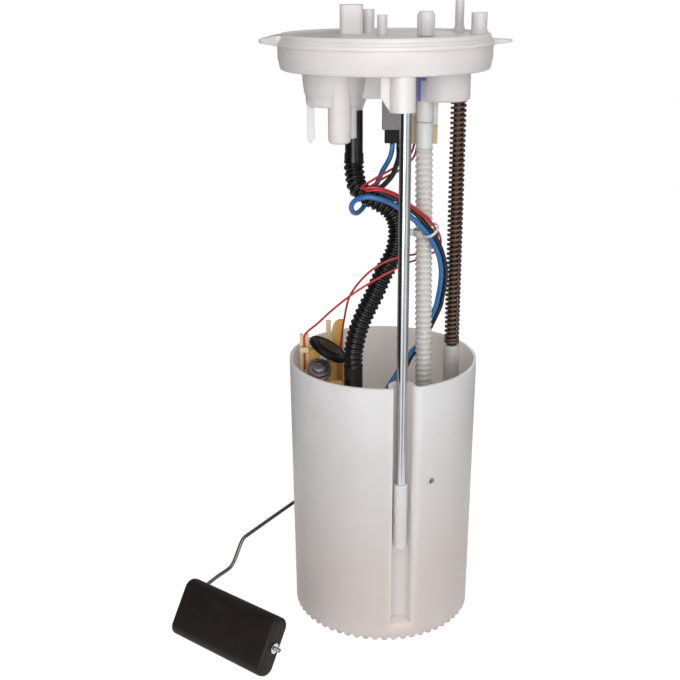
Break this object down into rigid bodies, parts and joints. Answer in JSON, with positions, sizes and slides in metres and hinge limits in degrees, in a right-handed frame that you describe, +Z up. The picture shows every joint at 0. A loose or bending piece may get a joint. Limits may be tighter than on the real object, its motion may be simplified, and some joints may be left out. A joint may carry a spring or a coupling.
{
  "type": "in-tank fuel pump module",
  "caption": "In-tank electric fuel pump module: white reservoir pot, flanged cover sliding on guide rods against a spring, hoses, wires and a level float on a wire arm.",
  "frame": {"origin": "centre of the pot's foot, in the plane it stands on", "axes": "+Z up along the pot's axis to the cover; -Y towards the front guide rod's side; +X towards the pressure port"},
  "size_m": [0.2201, 0.1817, 0.408],
  "materials": {
    "pot_white": "satin",
    "cover_white": "satin",
    "sleeve_white": "gloss",
    "tube_white": "satin",
    "steel_rod": "polished",
    "dark_steel": "satin",
    "spring_brown": "satin",
    "can_steel": "satin",
    "black_plastic": "satin",
    "black_rubber": "satin",
    "grey_plastic": "satin",
    "amber_plastic": "gloss",
    "cream_plastic": "satin",
    "beige_plastic": "satin",
    "blue_plastic": "gloss",
    "blue_wire": "gloss",
    "black_wire": "gloss",
    "red_wire": "gloss",
    "brass": "polished",
    "arm_steel": "satin",
    "float_dark": "matte"
  },
  "bodies": {
    "pot": {"reservoir_pot": "pot_white", "inlet_valve": "black_plastic", "suction_strainer": "grey_plastic", "jet_pump": "grey_plastic", "return_tube_foot": "sleeve_white", "pump_can": "can_steel", "pump_cap": "black_plastic", "pump_head": "amber_plastic", "pump_holder": "amber_plastic", "rubber_mount": "black_rubber", "holder_clip": "cream_plastic", "regulator": "can_steel", "regulator_cap": "black_plastic", "pump_plug": "black_plastic", "feed_hose_foot": "black_rubber", "sender_body": "black_plastic", "sender_plate": "cream_plastic", "feed_hose": "black_rubber", "return_tube": "tube_white", "spring": "spring_brown", "blue_wire": "blue_wire", "black_wire": "black_wire", "red_wire_a": "red_wire", "red_wire_b": "red_wire", "wire_tie": "sleeve_white"},
    "cover": {"flange_cover": "cover_white", "guide_rod_front": "steel_rod", "guide_rod_rear": "dark_steel", "rod_sleeve": "sleeve_white", "rod_stop_ring": "steel_rod", "power_socket": "grey_plastic", "power_plug": "black_plastic", "sender_plug": "beige_plastic", "blue_clip": "blue_plastic", "vent_stub": "cover_white", "vent_cap": "cover_white", "socket_pins": "brass", "feed_hose_cuff": "black_rubber", "return_tube_cuff": "sleeve_white"},
    "arm": {"arm_wire": "arm_steel", "arm_hub": "sleeve_white", "wiper": "brass", "push_washer": "steel_rod"},
    "float": {"float": "float_dark"}
  },
  "joints": [
    {"name": "cover_slide", "type": "slide", "parent": "pot", "child": "cover", "axis": [0, 0, 1], "range_m": [-0.05, 0], "stiffness_N_per_m": 300, "springref_m": 0.03, "deforming": ["feed_hose", "return_tube", "spring", "blue_wire", "black_wire", "red_wire_a", "red_wire_b", "wire_tie"]},
    {"name": "arm_pivot", "type": "hinge", "parent": "pot", "child": "arm", "pos_m": [-0.04602, 0.04835, 0.051], "axis": [-0.7902, 0.6129, 0], "range_deg": [0, 50]},
    {"name": "float_swivel", "type": "hinge", "parent": "arm", "child": "float", "pos_m": [-0.10275, -0.07976, 0.0247], "axis": [-0.7902, 0.6129, 0], "continuous": true}
  ]
}
